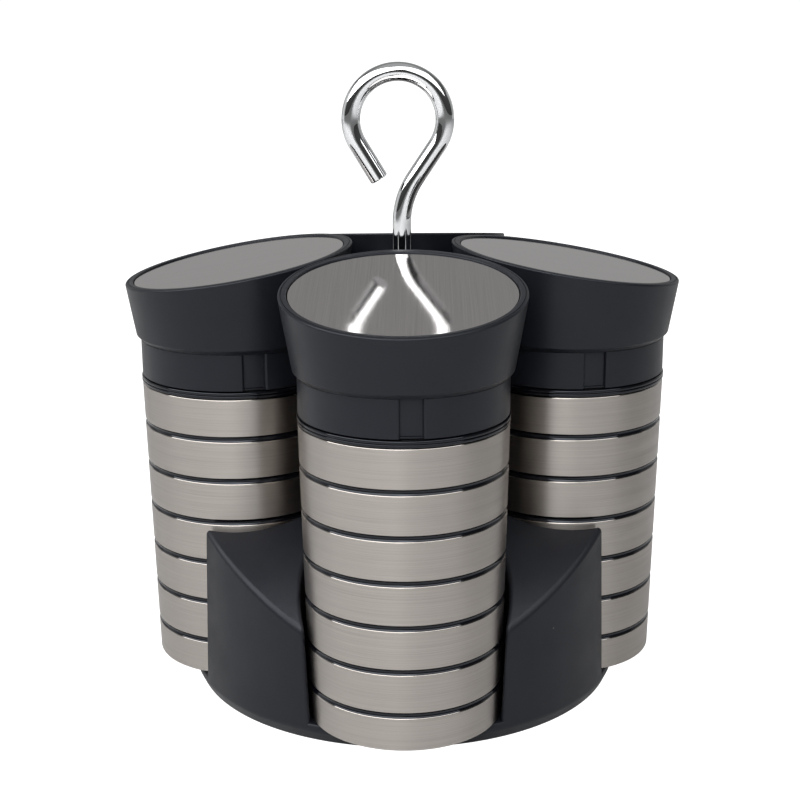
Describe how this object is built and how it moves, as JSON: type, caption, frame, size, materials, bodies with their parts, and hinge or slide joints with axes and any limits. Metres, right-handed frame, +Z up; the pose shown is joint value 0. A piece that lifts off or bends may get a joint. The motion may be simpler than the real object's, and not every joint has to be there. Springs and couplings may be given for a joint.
{
  "type": "spice carousel",
  "caption": "Turning spice rack: slanted-cap steel jars stand in a round moulded tray with a chrome carrying hook on its centre pole.",
  "frame": {"origin": "centre of the turntable, on the surface it stands on", "axes": "+Z up along the pole; the hook lies in the XZ plane, and a jar stands on each of +X, +Y, -X and -Y"},
  "size_m": [0.15, 0.1502, 0.1712],
  "materials": {
    "tray_plastic": "matt charcoal moulding with a fine spark-eroded grain",
    "lid_plastic": "satin charcoal moulding",
    "jar_gloss": "polished black moulding",
    "sleeve_steel": "stainless steel brushed round the jar, black enamel in the grooves",
    "disc_steel": "stainless steel brushed along the slope",
    "chrome": "bright chromium plate on steel rod",
    "zinc": "bright zinc plate",
    "nylon": "natural nylon",
    "rubber": "matt black rubber"
  },
  "bodies": {
    "foot": {"foot_plate": "tray_plastic", "bearing_race": "nylon", "foot_pad_1": "rubber", "foot_pad_2": "rubber", "foot_pad_3": "rubber", "foot_pad_4": "rubber"},
    "carousel": {"base_tray": "tray_plastic", "pole_hook": "chrome", "pole_ferrule": "tray_plastic", "thrust_washer": "nylon", "pivot_nut": "zinc", "pivot_washer": "zinc"},
    "jar_front": {"jar_inner_front": "jar_gloss", "steel_sleeve_front": "sleeve_steel", "neck_seal_front": "rubber", "shaker_insert_front": "tray_plastic"},
    "lid_front": {"lid_collar_front": "lid_plastic"},
    "cap_front": {"slant_cap_front": "lid_plastic", "cap_disc_front": "disc_steel"},
    "jar_right": {"jar_inner_right": "jar_gloss", "steel_sleeve_right": "sleeve_steel", "neck_seal_right": "rubber", "shaker_insert_right": "tray_plastic"},
    "lid_right": {"lid_collar_right": "lid_plastic"},
    "cap_right": {"slant_cap_right": "lid_plastic", "cap_disc_right": "disc_steel"},
    "jar_rear": {"jar_inner_rear": "jar_gloss", "steel_sleeve_rear": "sleeve_steel", "neck_seal_rear": "rubber", "shaker_insert_rear": "tray_plastic"},
    "lid_rear": {"lid_collar_rear": "lid_plastic"},
    "cap_rear": {"slant_cap_rear": "lid_plastic", "cap_disc_rear": "disc_steel"},
    "jar_left": {"jar_inner_left": "jar_gloss", "steel_sleeve_left": "sleeve_steel", "neck_seal_left": "rubber", "shaker_insert_left": "tray_plastic"},
    "lid_left": {"lid_collar_left": "lid_plastic"},
    "cap_left": {"slant_cap_left": "lid_plastic", "cap_disc_left": "disc_steel"}
  },
  "joints": [
    {"name": "carousel_turn", "type": "hinge", "parent": "foot", "child": "carousel", "pos_m": [0, 0, 0.0105], "axis": [0, 0, 1], "continuous": true},
    {"name": "jar_lift_front", "type": "slide", "parent": "carousel", "child": "jar_front", "axis": [0, -0.1219, 0.9925], "range_m": [0, 0.06]},
    {"name": "lid_pull_front", "type": "slide", "parent": "jar_front", "child": "lid_front", "axis": [0, 0, 1], "range_m": [0, 0.012]},
    {"name": "cap_twist_front", "type": "hinge", "parent": "lid_front", "child": "cap_front", "pos_m": [0, -0.04511, 0.0985], "axis": [0, 0, 1], "continuous": true},
    {"name": "jar_lift_right", "type": "slide", "parent": "carousel", "child": "jar_right", "axis": [0.1219, 0, 0.9925], "range_m": [0, 0.06]},
    {"name": "lid_pull_right", "type": "slide", "parent": "jar_right", "child": "lid_right", "axis": [0, 0, 1], "range_m": [0, 0.012]},
    {"name": "cap_twist_right", "type": "hinge", "parent": "lid_right", "child": "cap_right", "pos_m": [0.04511, 0, 0.0985], "axis": [0, 0, 1], "continuous": true},
    {"name": "jar_lift_rear", "type": "slide", "parent": "carousel", "child": "jar_rear", "axis": [0, 0.1219, 0.9925], "range_m": [0, 0.06]},
    {"name": "lid_pull_rear", "type": "slide", "parent": "jar_rear", "child": "lid_rear", "axis": [0, 0, 1], "range_m": [0, 0.012]},
    {"name": "cap_twist_rear", "type": "hinge", "parent": "lid_rear", "child": "cap_rear", "pos_m": [0, 0.04511, 0.0985], "axis": [0, 0, 1], "continuous": true},
    {"name": "jar_lift_left", "type": "slide", "parent": "carousel", "child": "jar_left", "axis": [-0.1219, 0, 0.9925], "range_m": [0, 0.06]},
    {"name": "lid_pull_left", "type": "slide", "parent": "jar_left", "child": "lid_left", "axis": [0, 0, 1], "range_m": [0, 0.012]},
    {"name": "cap_twist_left", "type": "hinge", "parent": "lid_left", "child": "cap_left", "pos_m": [-0.04511, 0, 0.0985], "axis": [0, 0, 1], "continuous": true}
  ]
}
